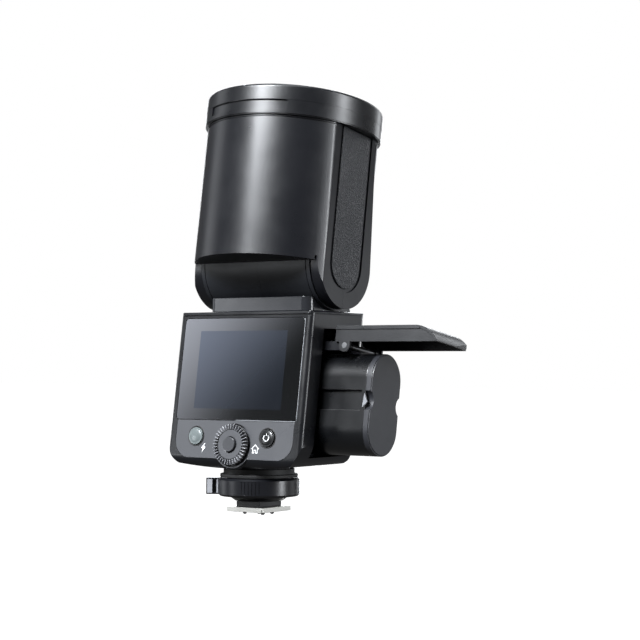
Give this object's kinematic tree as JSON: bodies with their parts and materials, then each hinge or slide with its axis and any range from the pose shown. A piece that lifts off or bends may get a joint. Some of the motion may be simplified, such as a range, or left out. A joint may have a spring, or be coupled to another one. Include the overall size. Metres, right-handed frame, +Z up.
{
  "type": "speedlight flash",
  "caption": "Round-head camera flash: leaning body with touch screen and dial, side battery behind a hinged door, panning and tilting head, locking hot-shoe foot.",
  "frame": {"origin": "centre of the underside of the shoe plate, where the flash seats in a camera's accessory shoe", "axes": "+Z up out of the shoe, +X towards the battery door, -Y towards the screen, +Y the way the light faces when the head is down"},
  "size_m": [0.126, 0.085, 0.179],
  "materials": {
    "shell_plastic": "satin moulded, fine grain",
    "panel_plastic": "satin grey",
    "button_plastic": "gloss",
    "pale_button": "gloss",
    "rubber": "matte",
    "leather_pad": "leather grain",
    "screen_glass": "polished",
    "display": "dark display",
    "lens": "frosted, ringed",
    "tube_glass": "clear",
    "red_window": "dark red",
    "reflector_metal": "bright",
    "shoe_metal": "nickel plated",
    "steel": "plain",
    "gold": "gold plated",
    "board": "solder mask",
    "capacitor_sleeve": "sleeve",
    "lamp_white": "lamp",
    "battery_plastic": "satin"
  },
  "bodies": {
    "body": {"shoe_plate": "shoe_metal", "foot_post": "shell_plastic", "foot_flange": "shell_plastic", "foot_screws": "steel", "foot_seal": "rubber", "rear_cover": "shell_plastic", "middle_frame": "shell_plastic", "front_cover": "shell_plastic", "bay_liner": "shell_plastic", "control_panel": "panel_plastic", "screen_glass": "screen_glass", "display_module": "display", "dial_encoder": "steel", "main_board": "board", "af_window": "red_window", "port_pin": "steel", "usb_socket": "steel", "sync_socket": "steel", "battery_contacts": "gold", "body_screws": "steel", "pan_bearing": "steel"},
    "contacts": {"contact_pins": "gold"},
    "lock_pin": {"lock_pin": "steel"},
    "lock_ring": {"lock_ring": "shell_plastic"},
    "dial": {"dial": "shell_plastic", "dial_grip": "shell_plastic"},
    "centre_button": {"centre_button": "button_plastic"},
    "left_button": {"left_button": "pale_button"},
    "power_button": {"power_button": "button_plastic"},
    "port_cover": {"port_cover": "rubber"},
    "door": {"door_shell": "shell_plastic", "door_liner": "shell_plastic", "hinge_pin": "steel"},
    "carrier": {"hinge_carrier": "shell_plastic"},
    "battery": {"battery_case": "battery_plastic", "battery_cap": "battery_plastic", "battery_terminals": "gold"},
    "neck": {"neck_base": "shell_plastic", "barrel_left": "shell_plastic", "barrel_right": "shell_plastic", "pan_hub": "steel", "pan_retainer": "steel", "tilt_axle": "steel"},
    "head": {"head_rear_shell": "shell_plastic", "head_front_shell": "shell_plastic", "left_pad": "leather_pad", "right_pad": "leather_pad", "ear_bushes": "steel", "front_ring": "shell_plastic", "front_lens": "lens", "reflector": "reflector_metal", "flash_tube": "tube_glass", "model_lamp": "lamp_white", "capacitor": "capacitor_sleeve", "head_board": "board", "magnets": "steel"}
  },
  "joints": [
    {"name": "head_pan", "type": "hinge", "parent": "body", "child": "neck", "pos_m": [0, 0.01476, 0.083], "axis": [0, 0, 1], "range_deg": [-150, 180]},
    {"name": "head_tilt", "type": "hinge", "parent": "neck", "child": "head", "pos_m": [0, 0.01476, 0.10295], "axis": [1, 0, 0], "range_deg": [-81.4, 36]},
    {"name": "door_hinge", "type": "hinge", "parent": "carrier", "child": "door", "pos_m": [0.0442, 0.01017, 0.06724], "axis": [0, 0.9888, -0.1495], "range_deg": [0, 90]},
    {"name": "carrier_slide", "type": "slide", "parent": "body", "child": "carrier", "axis": [-1, 0, 0], "range_m": [0, 0.018]},
    {"name": "battery_slide", "type": "slide", "parent": "body", "child": "battery", "axis": [-1, 0, 0], "range_m": [0, 0.031]},
    {"name": "dial_spin", "type": "hinge", "parent": "body", "child": "dial", "pos_m": [0.0003, -0.01801, 0.02801], "axis": [0, -0.9888, 0.1495], "continuous": true},
    {"name": "centre_press", "type": "slide", "parent": "dial", "child": "centre_button", "axis": [0, 0.9888, -0.1495], "range_m": [0, 0.0006], "stiffness_N_per_m": 1500, "springref_m": -0.0003},
    {"name": "left_press", "type": "slide", "parent": "body", "child": "left_button", "axis": [0, 0.9888, -0.1495], "range_m": [0, 0.0005], "stiffness_N_per_m": 1500, "springref_m": -0.0003},
    {"name": "power_press", "type": "slide", "parent": "body", "child": "power_button", "axis": [0, 0.9888, -0.1495], "range_m": [0, 0.0005], "stiffness_N_per_m": 1500, "springref_m": -0.0003},
    {"name": "port_flap", "type": "hinge", "parent": "body", "child": "port_cover", "pos_m": [-0.0333, 0.00353, 0.07016], "axis": [0, -0.9888, 0.1495], "range_deg": [0, 110]},
    {"name": "lock_turn", "type": "hinge", "parent": "body", "child": "lock_ring", "pos_m": [0, 0, 0.01], "axis": [0, 0, 1], "range_deg": [0, 60]},
    {"name": "lock_pin_drop", "type": "slide", "parent": "body", "child": "lock_pin", "axis": [0, 0, -1], "range_m": [0, 0.002]},
    {"name": "contact_press", "type": "slide", "parent": "body", "child": "contacts", "axis": [0, 0, 1], "range_m": [0, 0.0012], "stiffness_N_per_m": 800, "springref_m": -0.0006}
  ],
  "couplings": [
    {"joint": "carrier_slide", "follows": "battery_slide", "ratio": 0.58065},
    {"joint": "door_hinge", "follows": "battery_slide", "rad_per_m": 50.671},
    {"joint": "lock_pin_drop", "follows": "lock_turn", "m_per_rad": 0.0019099}
  ]
}
